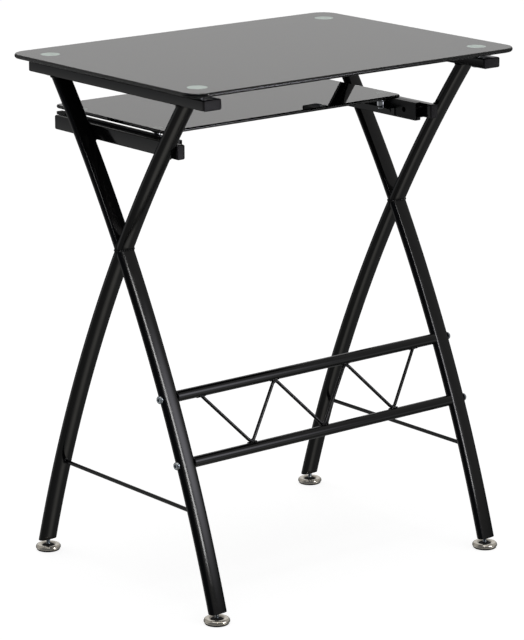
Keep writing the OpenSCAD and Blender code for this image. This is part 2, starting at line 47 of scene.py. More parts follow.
azimuth, height, roll = 0.67877, 0.25206, -0.00382
ahead = np.array((math.sin(azimuth) * math.cos(height),
                  math.cos(azimuth) * math.cos(height), -math.sin(height)))
across = np.array((math.cos(azimuth), -math.sin(azimuth), 0.0))
over = np.cross(across, ahead)
right = across * math.cos(roll) + over * math.sin(roll)
above = over * math.cos(roll) - across * math.sin(roll)
camera = bpy.data.objects.new("camera", bpy.data.cameras.new("camera"))
camera.data.lens = 168.636
camera.data.shift_x, camera.data.shift_y = -0.00537, -0.02696
aim, distance = (-0.00022, 0.00016, 0.384), 4.45488
stand = np.array(aim) - ahead * distance
camera.matrix_world = (Matrix.Translation(stand.tolist())
                       @ Matrix(np.column_stack((right, above, -ahead)).tolist()).to_4x4())
bpy.context.collection.objects.link(camera)
bpy.context.scene.camera = camera
bpy.context.scene.view_settings.view_transform = "Standard"


# ---- studio ----
# A white sweep, plain white to the camera. What polished faces see of the room is
# darker: a lit backdrop ahead of the camera, grey walls all round but for a black drape
# behind it, and a bounced floor, with a soft panel close by on the right and a tall
# strip lamp further off.

def hue(text):
    """An sRGB hex colour as linear red, green, blue and alpha."""
    c = np.array([int(text[i:i + 2], 16) / 255 for i in (1, 3, 5)])
    c = np.where(c <= 0.04045, c / 12.92, ((c + 0.055) / 1.055) ** 2.4)
    return (*c.tolist(), 1.0)


def node(tree, kind, sockets=(), **settings):
    """Adds one node. Sockets gives inputs a value or another node's output."""
    new = tree.nodes.new(kind)
    for key, value in settings.items():
        setattr(new, key, value)
    for key, value in dict(sockets).items():
        if isinstance(value, bpy.types.NodeSocket):
            tree.links.new(value, new.inputs[key])
        else:
            new.inputs[key].default_value = value
    return new


def ramp(tree, value, start, end, low, high):
    """Smooth step from low at start to high at end."""
    return node(tree, "ShaderNodeMapRange",
                {"Value": value, "From Min": start, "From Max": end, "To Min": low,
                 "To Max": high}, interpolation_type="SMOOTHSTEP").outputs[0]


def sums(tree, operation, first, second, third=0.0):
    """One sum of two or three terms; MULTIPLY_ADD gives first x second + third."""
    return node(tree, "ShaderNodeMath", {0: first, 1: second, 2: third},
                operation=operation).outputs[0]


room = bpy.data.worlds.new("studio room")
bpy.context.scene.world = room
room.use_nodes = True
sky = room.node_tree
sky.nodes.clear()
rays = node(sky, "ShaderNodeLightPath").outputs
bearing = node(sky, "ShaderNodeTexCoord").outputs["Generated"]
x_way, y_way, z_way = node(sky, "ShaderNodeSeparateXYZ", {0: bearing}).outputs


def patch(way, start, end, level):
    """Light of this level round one direction, gone where the cosine falls to start."""
    way = np.array(way) / np.linalg.norm(way)
    toward = node(sky, "ShaderNodeVectorMath", {0: bearing, 1: way.tolist()},
                  operation="DOT_PRODUCT").outputs["Value"]
    return ramp(sky, toward, start, end, 0.0, level)


drape = sums(sky, "SUBTRACT", 1.0, patch((-0.75, -0.62, 0.2), 0.3, 0.75, 1.0))
walls = sums(sky, "MULTIPLY", drape, ramp(sky, z_way, -0.02, 0.2, 0.0, 0.36))
below = ramp(sky, z_way, -0.08, -0.3, 0.0, 1.0)
bounced = sums(sky, "ADD", ramp(sky, x_way, 0.36, 0.49, 0.16, 0.7),
               ramp(sky, x_way, 0.5, 0.61, 0.0, -0.56))
bounced = sums(sky, "MULTIPLY", bounced, below)
# Ways from the desk to the lit parts of the room: ahead of the camera and a little up,
# and below the horizon to the left and to the right of it.
FAR, LOW_LEFT, LOW_RIGHT = (0.607, 0.754, 0.27), (-0.607, 0.754, -0.251), (0.607, -0.754, -0.251)
backdrop = sums(sky, "ADD", patch(FAR, 0.95, 0.985, 0.33), patch(LOW_LEFT, 0.88, 0.98, 0.3))
backdrop = sums(sky, "ADD", backdrop, patch(LOW_RIGHT, 0.93, 0.99, 0.4))
lights = []
for colour, level in (("#ffffff", backdrop), ("#fdfaf0", bounced), ("#f6f3ee", walls),
                      ("#dfeaff", 0.06)):
    lights.append(node(sky, "ShaderNodeBackground",
                       {"Color": hue(colour),
                        "Strength": sums(sky, "MULTIPLY", level, rays["Is Glossy Ray"])}))
plain = sums(sky, "ADD", rays["Is Camera Ray"], rays["Is Transmission Ray"])
plain = sums(sky, "MULTIPLY_ADD", rays["Is Diffuse Ray"], 0.55, plain)
total = node(sky, "ShaderNodeBackground", {"Color": hue("#ffffff"), "Strength": plain})
for light in lights:
    total = node(sky, "ShaderNodeAddShader", {0: total.outputs[0], 1: light.outputs[0]})
node(sky, "ShaderNodeOutputWorld", {"Surface": total.outputs[0]})


def facing(spot, aim):
    """Placement at spot whose local z points away from aim and whose x is level."""
    away = np.array(spot) - np.array(aim)
    away = away / np.linalg.norm(away)
    level = np.cross((0, 0, 1), away) if abs(away[2]) < 0.99 else np.array((1.0, 0, 0))
    level = level / np.linalg.norm(level)
    return Matrix.Translation(spot) @ Matrix(
        np.column_stack((level, np.cross(away, level), away)).tolist()).to_4x4()


def lamp(name, spot, size, radiance, aim=(0, 0, 0.4)):
    """A rectangular lamp at spot that faces aim; its watts are radiance x pi x area."""
    data = bpy.data.lights.new(name, "AREA")
    data.shape = "RECTANGLE"
    data.size, data.size_y = size
    data.energy = radiance * math.pi * size[0] * size[1]
    new = bpy.data.objects.new(name, data)
    bpy.context.collection.objects.link(new)
    new.matrix_world = facing(spot, aim)
    new.visible_camera = False
    return new


lamp("overhead", (0, 0, 3.2), (2.0, 2.0), 2.0)
for name, spot, size, radiance, aim in (
        ("strip", (1.75, -4.3, 2.4), (0.3, 2.6), 17.0, (-0.258, -0.12, 0.3)),
        ("spot card", (-1.53, -2.2, 2.93), (0.3, 0.5), 7.0, (-0.258, 0.08, 0.62))):
    lamp(name, spot, size, radiance, aim).visible_diffuse = False


def plate(name, corners, material):
    """A flat four-cornered mesh of this material."""
    mesh = bpy.data.meshes.new(name)
    mesh.from_pydata(corners, [], [(0, 1, 2, 3)])
    mesh.materials.append(material)
    new = bpy.data.objects.new(name, mesh)
    bpy.context.collection.objects.link(new)
    return new


# Silk over the soft panel: brightest in its middle and dying away to its edges.
silk = bpy.data.materials.new("lit white silk")
silk.use_nodes = True
tree = silk.node_tree
tree.nodes.clear()
place = node(tree, "ShaderNodeSeparateXYZ",
             {0: node(tree, "ShaderNodeTexCoord").outputs["Object"]}).outputs
level = sums(tree, "MULTIPLY", ramp(tree, place[0], 0.62, 0.36, 0.0, 3.3),
             ramp(tree, place[2], 0.1, 0.55, 0.0, 1.0))
level = sums(tree, "MULTIPLY", level, ramp(tree, place[2], 1.15, 0.6, 0.0, 1.0))
level = sums(tree, "MULTIPLY", level, ramp(tree, place[0], 0.2, 0.31, 0.0, 1.0))
glow = node(tree, "ShaderNodeEmission", {"Color": hue("#f1f0fb"), "Strength": level})
clear = node(tree, "ShaderNodeBsdfTransparent")
both = node(tree, "ShaderNodeAddShader", {0: clear.outputs[0], 1: glow.outputs[0]})
node(tree, "ShaderNodeOutputMaterial", {"Surface": both.outputs[0]})
panel_left, panel_right, panel_tall = (0.198, -1.055), (0.621, -0.699), 1.2
panel = plate("soft panel", [(*panel_left, 0.0), (*panel_right, 0.0),
                             (*panel_right, panel_tall), (*panel_left, panel_tall)], silk)
for kind in ("camera", "diffuse", "transmission", "shadow"):
    setattr(panel, f"visible_{kind}", False)

# Painted studio floor: matt and pale, with its own white added for what looks at it.
paint = bpy.data.materials.new("matt white floor paint")
paint.use_nodes = True
tree = paint.node_tree
tree.nodes.clear()
rays = node(tree, "ShaderNodeLightPath").outputs
seen = sums(tree, "ADD", rays["Is Camera Ray"], rays["Is Transmission Ray"])
seen = sums(tree, "MULTIPLY", seen, 0.82)
matt = node(tree, "ShaderNodeBsdfDiffuse", {"Color": hue("#9e9e9e")})
glow = node(tree, "ShaderNodeEmission", {"Color": hue("#ffffff"), "Strength": seen})
both = node(tree, "ShaderNodeAddShader", {0: matt.outputs[0], 1: glow.outputs[0]})
node(tree, "ShaderNodeOutputMaterial", {"Surface": both.outputs[0]})
half, sunk = 40, -0.0002
floor = plate("floor", [(x, y, sunk) for x, y in
                        ((-half, -half), (half, -half), (half, half), (-half, half))], paint)
floor.visible_glossy = False


# ---- glass top ----
# A 6 mm pane of toughened float glass with rounded corners and ground arrises. Its
# underside is fired with black enamel, and a pale film of cured adhesive shows over
# each of the four discs that carry it.

def outline(width, depth, radius, steps=10):
    """Rounded rectangle round the origin: quarter circles of `steps` chords at the
    corners, joined by straight sides."""
    a = np.radians(np.linspace(0, 90, steps + 1)) + np.radians((0, 90, 180, 270))[:, None]
    corner = np.array(((1, 1), (-1, 1), (-1, -1), (1, -1))) \
        * (width / 2 - radius, depth / 2 - radius)
    return (corner[:, None] + radius * np.stack((np.cos(a), np.sin(a)), -1)).reshape(-1, 2)


def stack(edge, width, depth, radius, steps=10):
    """Rounded rectangles one over another: each (inset, level) of edge gives one,
    smaller by inset on every side, at that height."""
    return np.stack([np.column_stack((outline(width - 2 * i, depth - 2 * i,
                                              radius - i, steps),
                                      np.full(4 * steps + 4, z))) for i, z in edge])


def skin(rows, ring=False):
    """Surface over rows x columns of points. The last column joins the first; the last
    row joins the first in a ring, and otherwise each end row is closed by a fan to its
    middle. Faces are turned outwards by the sign of the volume they hold."""
    n, m = rows.shape[:2]
    points = rows.reshape(-1, 3)
    i, j = np.meshgrid(np.arange(n if ring else n - 1), np.arange(m), indexing="ij")
    k = (i + 1) % n
    l = (j + 1) % m
    quads = np.stack((i * m + j, i * m + l, k * m + l, k * m + j), -1).reshape(-1, 4)
    fans = np.zeros((0, 3), int)
    if not ring:
        points = np.vstack((points, rows[0].mean(0), rows[-1].mean(0)))
        j = np.arange(m)
        l = (j + 1) % m
        last = (n - 1) * m
        fans = np.vstack((np.stack((l, j, np.full(m, n * m)), -1),
                          np.stack((last + j, last + l, np.full(m, n * m + 1)), -1)))
    three = np.vstack((quads[:, :3], quads[:, (0, 2, 3)], fans))
    a, b, c = points[three[:, 0]], points[three[:, 1]], points[three[:, 2]]
    if (a * np.cross(b, c)).sum() < 0:
        quads, fans = quads[:, ::-1], fans[:, ::-1]
    return points, quads, fans


def make(name, skins, body, slot, finish, *nodes, crease=34):
    """One mesh object of several skins, in metres, smooth up to the crease angle. It
    rides on body, takes the finish given and stands for the CAD nodes named. Slot is not used."""
    points, faces, start = [], [], 0
    for p, quads, fans in skins:
        points.append(p * 0.001)
        faces += (quads + start).tolist() + (fans + start).tolist()
        start += len(p)
    mesh = bpy.data.meshes.new(name)
    mesh.from_pydata(np.vstack(points), [], faces)
    mesh.shade_smooth()
    mesh.set_sharp_from_angle(angle=math.radians(crease))
    mesh.materials.append(finish)
    new = bpy.data.objects.new(name, mesh)
    bpy.context.collection.objects.link(new)
    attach(new, body)
    if nodes:
        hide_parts(*nodes)


def finish(name, colour, rough, **sockets):
    """A material with one Principled shader of this colour and these plain values.
    Returns it with its node tree and the shader's inputs."""
    new = bpy.data.materials.new(name)
    new.use_nodes = True
    shader = new.node_tree.nodes["Principled BSDF"]
    values = {"Base Color": hue(colour), "Roughness": rough}
    values.update({key.replace("_", " "): value for key, value in sockets.items()})
    for key, value in values.items():
        shader.inputs[key].default_value = value
    return new, new.node_tree, shader.inputs


def blotch(tree, scale, low, high, place=None):
    """Soft noise of `scale` cells a metre in object space, spread from low to high."""
    place = place or node(tree, "ShaderNodeTexCoord").outputs["Object"]
    noise = node(tree, "ShaderNodeTexNoise", {"Vector": place, "Scale": scale,
                                              "Detail": 3.0})
    return node(tree, "ShaderNodeMapRange",
                {"Value": noise.outputs[0], "From Min": 0.3, "From Max": 0.7,
                 "To Min": low, "To Max": high}).outputs[0]


# Float glass, polished by the tin bath it floated on: mirror smooth, with a faint
# green that shows only along the edges. Wiping leaves slight smears 60 mm across.
glass, tree, into = finish("toughened float glass", "#f1f7f3", 0.01,
                           Transmission_Weight=1.0, IOR=1.52)
tree.links.new(blotch(tree, 16, 0.0, 0.03), into["Roughness"])
green = node(tree, "ShaderNodeVolumeAbsorption", {"Color": hue("#7fb59a"), "Density": 14.0})
tree.links.new(green.outputs[0], tree.nodes["Material Output"].inputs["Volume"])
# Ceramic enamel, screen printed and fired on: dead black, with a fine frit speckle
# drawn at 2 mm.
enamel, tree, into = finish("fired black ceramic enamel", "#050505", 0.9,
                            Specular_IOR_Level=0.0)
speck = blotch(tree, 500, 0.0, 1.0)
tint = node(tree, "ShaderNodeMix", {"Factor": speck, 6: hue("#040404"), 7: hue("#0a0b0b")},
            data_type="RGBA")
tree.links.new(tint.outputs[2], into["Base Color"])
# Cured adhesive film: pale grey green behind the glass, cloudy where it spread.
film, tree, into = finish("cured adhesive film", "#c1cec8", 0.5, Specular_IOR_Level=0.0)
tint = node(tree, "ShaderNodeMix", {"Factor": blotch(tree, 160, 0.0, 1.0),
                                    6: hue("#b3c0bb"), 7: hue("#d0dbd6")},
            data_type="RGBA")
tree.links.new(tint.outputs[2], into["Base Color"])


def ground(low, high, under=0.0, steps=12):
    """Section of a ground edge, or of what lies `under` its surface: an arc of 0.6 of
    the thickness, as (inset, level) from the low face to the high one."""
    a = np.linspace(-1, 1, steps + 1) * math.asin(1 / 1.2)
    r = 0.6 * (high - low)
    return [(r - (r - under) * math.cos(x), (low + high) / 2 + (r - under) * math.sin(x))
            for x in a]


def pane(low, high, width, depth, radius, middle):
    """A slab with ground edges, and a flat rim inside them that keeps its faces flat."""
    edge = ground(low, high)
    rim = edge[0][0] + 0.7
    edge = [(rim, low), *edge, (rim, high)]
    return skin(stack(edge, width, depth, radius, 16) + (0, middle, 0))


def skirt(low, high, width, depth, radius, middle):
    """The enamel's turned-up border: a thin strip that follows the ground edge just
    inside the glass."""
    edge = ground(low, high, 0.05) + ground(low, high, 0.2)[::-1]
    return skin(stack(edge, width, depth, radius, 16) + (0, middle, 0), True)


def fired(inset, low, high, width, depth, radius, middle):
    """Enamel of a pane: a thin flat layer, drawn just inside the underside and ending
    `inset` short of the pane's edges, and the border turned up round it."""
    layer = stack(((inset, low + 0.01), (inset, low + 0.03)), width, depth, radius, 16)
    return [skin(layer + (0, middle, 0)), skirt(low, high, width, depth, radius, middle)]


def turned(profile, spot, axis=(0, 0, 1), sides=48, ring=False):
    """Turned piece: each (radius, height, squareness) of profile is one ring round the
    axis through spot. Squareness 1 makes the ring a hexagon across its flats. A `ring`
    is hollow in the middle: its profile closes on itself."""
    axis = np.array(axis, float)
    u = np.cross(axis, (0, 1, 0) if abs(axis[1]) < 0.9 else (1, 0, 0))
    v = np.cross(axis, u)
    a = np.radians(np.arange(sides) * 360 / sides)
    flat = 1 / np.cos((a + math.pi / 6) % (math.pi / 3) - math.pi / 6)
    r, h, k = (np.array(x, float)[:, None] for x in zip(*[(*p, 0)[:3] for p in profile]))
    r = r * (1 + k * (flat - 1))
    return skin(np.array(spot, float) + r[..., None] * (np.cos(a)[:, None] * u
                                                       + np.sin(a)[:, None] * v)
                + h[..., None] * axis, ring)


# Each pane: its low and high faces, width, depth, corner radius and middle along Y.
# SIDE_X is how far the side frames and the top's discs stand off the middle.
TOP_LOW = 758
TOP_PANE = (TOP_LOW, 764, 602, 444, 28, 0)
SIDE_X = 258
TOP_SPOTS = [(x, y) for x in (-SIDE_X, SIDE_X) for y in (-173.5, 173.5)]
make("top_pane", [pane(*TOP_PANE)], "frame", "smoked_glass", glass, "glass_top")
make("top_enamel", fired(1.7, *TOP_PANE), "frame", "smoked_glass", enamel)
make("top_bond_films", [turned(((14.3, TOP_LOW + 0.035), (14.3, TOP_LOW + 0.05)), (x, y, 0))
                        for x, y in TOP_SPOTS], "frame", "smoked_glass", film)


# ---- discs, spacers and screws under the top ----
# Each disc is glued to the glass and held down by a screw that comes up through the
# rail and a chromed spacer.

# Chrome plate over polished steel: mirror bright, a little hazed by handling.
chrome, tree, into = finish("bright chrome plate", "#d6d8da", 0.07, Metallic=1.0)
tree.links.new(blotch(tree, 220, 0.04, 0.13), into["Roughness"])
# Zinc plate, blue passivated: pale grey with a bluish cast that varies over 3 mm.
zinc, tree, into = finish("blue passivated zinc plate", "#b4bdc6", 0.3, Metallic=1.0)
tint = node(tree, "ShaderNodeMix", {"Factor": blotch(tree, 330, 0.0, 1.0),
                                    6: hue("#a9b6c4"), 7: hue("#c6c8c4")},
            data_type="RGBA")
tree.links.new(tint.outputs[2], into["Base Color"])
tree.links.new(blotch(tree, 900, 0.22, 0.4), into["Roughness"])


def head(radius, thick, drive, dome=0.0):
    """Screw head from its seat at 0 up to thick: rounded rim, an optional dome and a
    hexagon socket `drive` across its flats."""
    d = drive / 2
    deep = thick * 0.6
    return ((radius * 0.9, 0), (radius, thick * 0.12), (radius, thick * 0.45 * (1 - dome) + 0.2),
            (radius * 0.96, thick * (0.85 - 0.35 * dome)),
            (radius * 0.82, thick * (0.98 - 0.12 * dome)), (max(radius * 0.6, d + 0.5), thick),
            (d + 0.25, thick), (d, thick - 0.2, 1), (d, thick - deep, 1),
            (d * 0.5, thick - deep - 0.3))


# Under the pane: a 3 mm disc, a 4.5 mm spacer and the rail, whose underside is RAIL_LOW.
DISC_Z, SPACER_Z, RAIL_LOW = TOP_LOW - 3, TOP_LOW - 7.5, 735.5
discs = [turned(((13.9, 0), (14.5, 0.5), (14.5, 3)), (x, y, DISC_Z)) for x, y in TOP_SPOTS]
spacers = [turned(((9.0, 0), (9.5, 0.5), (9.5, 4.0), (9.0, 4.5)), (x, y, SPACER_Z))
           for x, y in TOP_SPOTS]
screws = [turned(head(6, 3, 4), (x, y, RAIL_LOW), (0, 0, -1)) for x, y in TOP_SPOTS] \
    + [turned(((3, 0), (3, 20)), (x, y, RAIL_LOW), sides=24) for x, y in TOP_SPOTS]
make("top_disc_set", discs, "frame", "chrome", chrome, "top_discs")
make("top_spacer_set", spacers, "frame", "chrome", chrome, "top_spacers")
make("top_screw_set", screws, "frame", "zinc_plate", zinc, "top_screws")


# ---- rails ----
# A 30 x 15 mm rectangular tube lies along each side under the top, welded to the heads
# of the legs, with a moulded cap pushed into each end.

# Gloss black powder coat, baked on steel: wet looking, with an orange peel whose
# 2 mm cells are drawn at 4 mm so that they show.
coat, tree, into = finish("gloss black powder coat", "#0a0a0b", 0.11, IOR=1.5,
                          Specular_IOR_Level=0.38)
tree.links.new(blotch(tree, 45, 0.08, 0.15), into["Roughness"])
peel = node(tree, "ShaderNodeTexNoise",
            {"Vector": node(tree, "ShaderNodeTexCoord").outputs["Object"],
             "Scale": 250.0, "Detail": 1.0})
peel = node(tree, "ShaderNodeBump", {"Height": peel.outputs[0], "Strength": 0.035,
                                     "Distance": 0.0005})
tree.links.new(peel.outputs[0], into["Normal"])
# Injection moulded black polypropylene: satin, with a spark-eroded grain drawn at 1 mm.
moulded, tree, into = finish("moulded black polypropylene", "#1b191c", 0.45,
                              Specular_IOR_Level=0.25)
tint = node(tree, "ShaderNodeMix", {"Factor": blotch(tree, 90, 0.0, 1.0),
                                    6: hue("#19171a"), 7: hue("#201d21")},
            data_type="RGBA")
tree.links.new(tint.outputs[2], into["Base Color"])
grain = node(tree, "ShaderNodeBump", {"Height": blotch(tree, 1000, 0.0, 1.0),
                                      "Strength": 0.15, "Distance": 0.0001})
tree.links.new(grain.outputs[0], into["Normal"])


def sweep(path, profile, up, ring=False, swell=1.0):
    """A profile carried along a path. At each point its first axis is T x U and its
    second is U, where T is the path's direction and U is `up` made square to T. Swell
    multiplies the profile's size at each point."""
    if ring:
        t = np.roll(path, -1, 0) - np.roll(path, 1, 0)
    else:
        t = np.gradient(path, axis=0)
    t = t / np.linalg.norm(t, axis=1, keepdims=True)
    u = np.array(up, float) - (t * up).sum(1, keepdims=True) * t
    u = u / np.linalg.norm(u, axis=1, keepdims=True)
    s = np.cross(t, u)
    size = (np.ones(len(path)) * swell)[:, None, None]
    return skin(path[:, None] + size * (profile[None, :, :1] * s[:, None]
                                        + profile[None, :, 1:] * u[:, None]), ring)


def circle(radius, sides=16):
    """Round profile."""
    a = np.radians(np.arange(sides) * 360 / sides)
    return radius * np.stack((np.cos(a), np.sin(a)), -1)


def bar(start, end, profile, up, soften=0.4):
    """Straight length of a profile with its two ends eased over `soften`."""
    start, end = np.array(start, float), np.array(end, float)
    t = (end - start) / np.linalg.norm(end - start)
    along = np.array((0, soften * 0.3, soften, soften + 0.01))
    path = np.vstack((start + t * along[:, None], end - t * along[::-1, None]))
    least = 1 - soften / np.abs(profile).max()
    ease = np.array((least, (1 + 2 * least) / 3 + 0.2 * (1 - least), 1, 1))
    return sweep(path, profile, up, swell=np.concatenate((ease, ease[::-1])))


def cap(x, z, y, end, width, tall):
    """Push-in end cap: a flange 3 mm thick whose front edge is rounded, and whose
    front face is dished by 0.3 mm inside a 1.8 mm rim."""
    edge = ((0.25, 0.0), (0.0, 0.3), (0.0, 2.0), (0.25, 2.6), (0.8, 3.0), (1.7, 3.0),
            (2.0, 2.75), (2.3, 2.7))
    rows = stack(edge, width, tall, 2.4, 6)
    return skin(np.stack((x + rows[..., 0], y + end * rows[..., 2], z + rows[..., 1]), -1))


SIDES = ((-1, "left"), (1, "right"))
RAIL_W, RAIL_H, RAIL_END = 30, 15, 205
RAIL_Z = RAIL_LOW + RAIL_H / 2
for side, word in SIDES:
    x = side * SIDE_X
    make(f"{word}_rail_tube", [bar((x, -RAIL_END, RAIL_Z), (x, RAIL_END, RAIL_Z),
                                   outline(RAIL_W, RAIL_H, 2, 6), (0, 0, 1))],
         "frame", "black_powder_coat", coat, f"rail_{word}")
make("rail_end_caps", [cap(s * SIDE_X, RAIL_Z, e * RAIL_END, e, RAIL_W, RAIL_H)
                       for s in (-1, 1) for e in (-1, 1)],
     "frame", "black_plastic", moulded, "rail_caps")


# ---- legs ----
# Flat-oval tube, 30 x 13 mm, rolled to one long bow. On each side one tube runs
# unbroken from the front foot to the rear of the rail; the other is cut in two where
# they cross and welded to it, and their ends are cut level.

BOW_Y, BOW_Z, BOW_R = -2070.733, -670.157, 2380.951
LEG_W, LEG_T, LEG_LOW, LEG_TOP, CROSS_Z = 30, 13, 16, RAIL_LOW, 505


def bow_y(z, out=0.0):
    """How far a tube lies from the middle of the desk at height z: the circle of the
    bow, made larger by `out` for a line that runs on the tube's outer side."""
    return BOW_Y + np.sqrt((BOW_R + out) ** 2 - (z - BOW_Z) ** 2)


def oval(width, thick, dome=66.0, steps=9):
    """Flat oval: its long sides are domed to a radius of `dome`, and each end is an arc
    that meets them smoothly. Points run round from one long side to the other."""
    w, t = width / 2, thick / 2
    nose = (2 * t * dome - w * w - t * t) / (2 * (dome - w))
    turn = math.asin((w - nose) / (dome - nose))
    a = np.linspace(turn - math.pi / 2, math.pi / 2 - turn, 2 * steps + 1)
    end = np.column_stack((w - nose + nose * np.cos(a), nose * np.sin(a)))
    a = np.linspace(turn, -turn, steps + 1)[1:-1]
    side = np.column_stack((dome * np.sin(a), t - dome * (1 - np.cos(a))))
    return np.vstack((end, side, -end, -side))


def leg(x, lean, low, high):
    """Bowed tube in level cuts: a point of the oval that lies b off its middle line
    runs on a circle of radius R + b. Its foot end turns in to a 1.2 mm wall."""
    z = np.linspace(low, high, int((high - low) / 9) + 2)
    inset = np.zeros(len(z))
    if low == LEG_LOW:
        z = np.concatenate(((low + 14, low + 0.3, low, low, low + 0.25), z[1:]))
        inset = np.concatenate(((1.2, 1.2, 1.0, 0.25, 0.0), inset[1:]))
    rows = []
    for level, i in zip(z, inset):
        p = oval(LEG_W - 2 * i, LEG_T - 2 * i)
        rows.append(np.column_stack((x + p[:, 0], lean * bow_y(level, p[:, 1]),
                                     np.full(len(p), level))))
    return skin(np.stack(rows))


def bead(path, up, radius=1.5, ring=True, pitch=1.9):
    """Weld bead: a small round profile along the path, whose size rises and falls
    once for each pitch of the torch's weave."""
    step = np.linalg.norm(np.diff(path, axis=0), axis=1)
    s = np.concatenate(((0,), np.cumsum(step)))
    swell = 1 + 0.16 * np.cos(2 * math.pi * s / pitch)
    if not ring:
        swell = swell * np.sqrt(np.clip(np.minimum(s, s[-1] - s) / radius, 0.1, 1))
    return sweep(path, circle(radius, 8), up, ring, swell)


def fine(path, count):
    """The same closed path, walked in `count` equal steps."""
    loop = np.vstack((path, path[:1]))
    s = np.concatenate(((0,), np.cumsum(np.linalg.norm(np.diff(loop, axis=0), axis=1))))
    at = np.linspace(0, s[-1], count + 1)[:-1]
    return np.column_stack([np.interp(at, s, loop[:, k]) for k in range(3)])


lean_at_cross = math.asin((CROSS_Z - BOW_Z) / BOW_R)
for side, word in SIDES:
    x = side * SIDE_X
    make(f"{word}_leg_unbroken", [leg(x, 1, LEG_LOW, LEG_TOP)], "frame", "black_powder_coat",
         coat, f"leg_long_{word}")
    make(f"{word}_leg_head", [leg(x, -1, CROSS_Z, LEG_TOP)], "frame", "black_powder_coat",
         coat, f"leg_upper_{word}")
    make(f"{word}_leg_foot", [leg(x, -1, LEG_LOW, CROSS_Z)], "frame", "black_powder_coat",
         coat, f"leg_lower_{word}")
    p = oval(LEG_W, LEG_T)
    level = np.column_stack((x + p[:, 0], p[:, 1] / math.cos(lean_at_cross),
                             np.full(len(p), CROSS_Z)))
    upright = np.column_stack((x + p[:, 0], np.zeros(len(p)),
                               CROSS_Z + p[:, 1] / math.sin(lean_at_cross)))
    beads = [bead(fine(level, 260), (0, 0, 1)), bead(fine(upright, 300), (0, 1, 0))]
    for lean in (-1, 1):
        q = oval(LEG_W + 0.6, LEG_T + 0.6)
        top = np.column_stack((x + q[:, 0], -lean * bow_y(LEG_TOP - 0.5, q[:, 1]),
                               np.full(len(q), LEG_TOP - 0.5)))
        beads.append(bead(fine(top, 260), (0, 0, 1), 1.2))
    make(f"{word}_leg_welds", beads, "frame", "black_powder_coat", coat)


# ---- lower side rods ----
# A 6 mm rod ties the two feet of each side, fillet welded to the flats of the tubes.

ROD_Z, ROD_R = 151.5, 3.0
for side, word in SIDES:
    x = side * SIDE_X
    reach = float(bow_y(ROD_Z)) - 4
    rod = bar((x, -reach, ROD_Z), (x, reach, ROD_Z), circle(ROD_R, 24), (0, 0, 1))
    a = np.radians(np.arange(72) * 5)
    ring_x, ring_z = (ROD_R + 0.2) * np.cos(a), ROD_Z + (ROD_R + 0.2) * np.sin(a)
    rings = [bead(np.column_stack((x + ring_x, lean * bow_y(ring_z, -LEG_T / 2), ring_z)),
                  (0, 1, 0), 1.1) for lean in (-1, 1)]
    make(f"{word}_foot_rod", [rod, *rings], "frame", "black_powder_coat", coat,
         f"side_rod_{word}")


# ---- rear truss ----
# Two 16 mm round tubes with one 5 mm rod bent in a zigzag between them and welded at
# every bend. A domed bolt through each rear leg screws into a plug in the tube's end.

TRUSS = [(float(-bow_y(z)), z) for z in (307.0, 218.5)]
PIPE_R, PIPE_END, BEND_PITCH = 8.0, 246, 67.4
for (y, z), word in zip(TRUSS, ("upper", "lower")):
    make(f"truss_{word}_pipe", [bar((-PIPE_END, y, z), (PIPE_END, y, z),
                                    circle(PIPE_R, 40), (0, 0, 1), 1.2)],
         "frame", "black_powder_coat", coat, f"truss_tube_{word}")

gap = np.subtract(TRUSS[1], TRUSS[0])
slope = gap / np.linalg.norm(gap)
high, low = np.array(TRUSS[0]) + slope * 6, np.array(TRUSS[1]) - slope * 7
turn_x = np.arange(-3, 4) * BEND_PITCH
bends = np.array([(tx, *(high if k % 2 == 0 else low)) for k, tx in enumerate(turn_x)])


def bent(corners, reach, steps=8):
    """Bent rod's middle line: straight runs joined by a parabola at each corner, from
    `reach` before it to `reach` after it."""
    before = corners[:-2] - corners[1:-1]
    after = corners[2:] - corners[1:-1]
    a = corners[1:-1] + before / np.linalg.norm(before, axis=1, keepdims=True) * reach
    b = corners[1:-1] + after / np.linalg.norm(after, axis=1, keepdims=True) * reach
    t = np.linspace(0, 1, steps + 1)[None, :, None]
    curve = a[:, None] * (1 - t) ** 2 + 2 * corners[1:-1, None] * t * (1 - t) \
        + b[:, None] * t ** 2
    return np.vstack((corners[:1], curve.reshape(-1, 3), corners[-1:]))


rod = sweep(bent(bends, 9.0), circle(2.5, 20), (0, slope[1], -slope[0]))
lengthwise = np.linspace(-7, 7, 44)
spots = []
for k, (bx, by, bz) in enumerate(bends):
    inward = 1 if k % 2 == 0 else -1
    touch = np.array((by, bz)) + slope * inward * 1.5
    for face in (-1, 1):
        y, z = touch + face * 2.9 * np.array((slope[1], -slope[0]))
        path = np.column_stack((bx + lengthwise, np.full(44, y), np.full(44, z)))
        spots.append(bead(path, (0, 0, 1), 1.3, False))
make("truss_bent_rod", [rod, *spots], "frame", "black_powder_coat", coat, "truss_zigzag")

# The bolt heads seat 0.6 mm under the flat oval's widest point.
BOLT_X = SIDE_X + LEG_W / 2 - 0.6
bolts = []
for s in (-1, 1):
    for y, z in TRUSS:
        bolts.append(turned(head(6, 4, 4.6, 0.8), (s * BOLT_X, y, z), (s, 0, 0)))
        bolts.append(turned(((3, 0), (3, 44)), (s * BOLT_X, y, z), (-s, 0, 0), 24))
make("truss_bolt_set", bolts, "frame", "zinc_plate", zinc, "truss_bolts")


# ---- tray carriers ----
# A 21 x 13 mm tube along the inner side of each frame, welded where the legs pass it,
# with a moulded cap in each end. The slides are screwed to its inner face.

